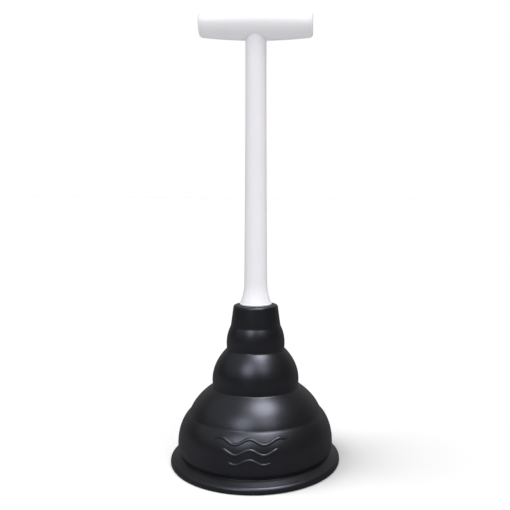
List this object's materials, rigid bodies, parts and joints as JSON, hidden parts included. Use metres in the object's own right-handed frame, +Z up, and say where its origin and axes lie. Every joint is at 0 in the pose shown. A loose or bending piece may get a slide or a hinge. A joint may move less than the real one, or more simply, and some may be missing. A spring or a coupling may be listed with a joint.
{
  "type": "sink plunger",
  "caption": "Hand plunger with a stepped rubber cup on a T-shaped handle; the cup squashes under the handle.",
  "frame": {"origin": "centre of the cup's rim, on the surface that the rim seals against", "axes": "+Z up along the shaft, from the rim to the grip; +X along the grip, to the right as seen from the front (-Y)"},
  "size_m": [0.152, 0.152, 0.3971],
  "materials": {
    "cup_rubber": "satin",
    "white_plastic": "satin",
    "plug_plastic": "matte",
    "zinc_steel": "satin"
  },
  "bodies": {
    "cup": {"cup": "cup_rubber"},
    "handle": {"shaft": "white_plastic", "grip_bar": "white_plastic", "grip_cap_left": "white_plastic", "grip_cap_right": "white_plastic", "foot_plug": "plug_plastic", "retaining_washer": "zinc_steel", "retaining_screw": "zinc_steel"}
  },
  "joints": [
    {"name": "plunge", "type": "slide", "parent": "cup", "child": "handle", "axis": [0, 0, 1], "range_m": [-0.045, 0.005], "stiffness_N_per_m": 2000, "deforming": ["cup"]}
  ]
}
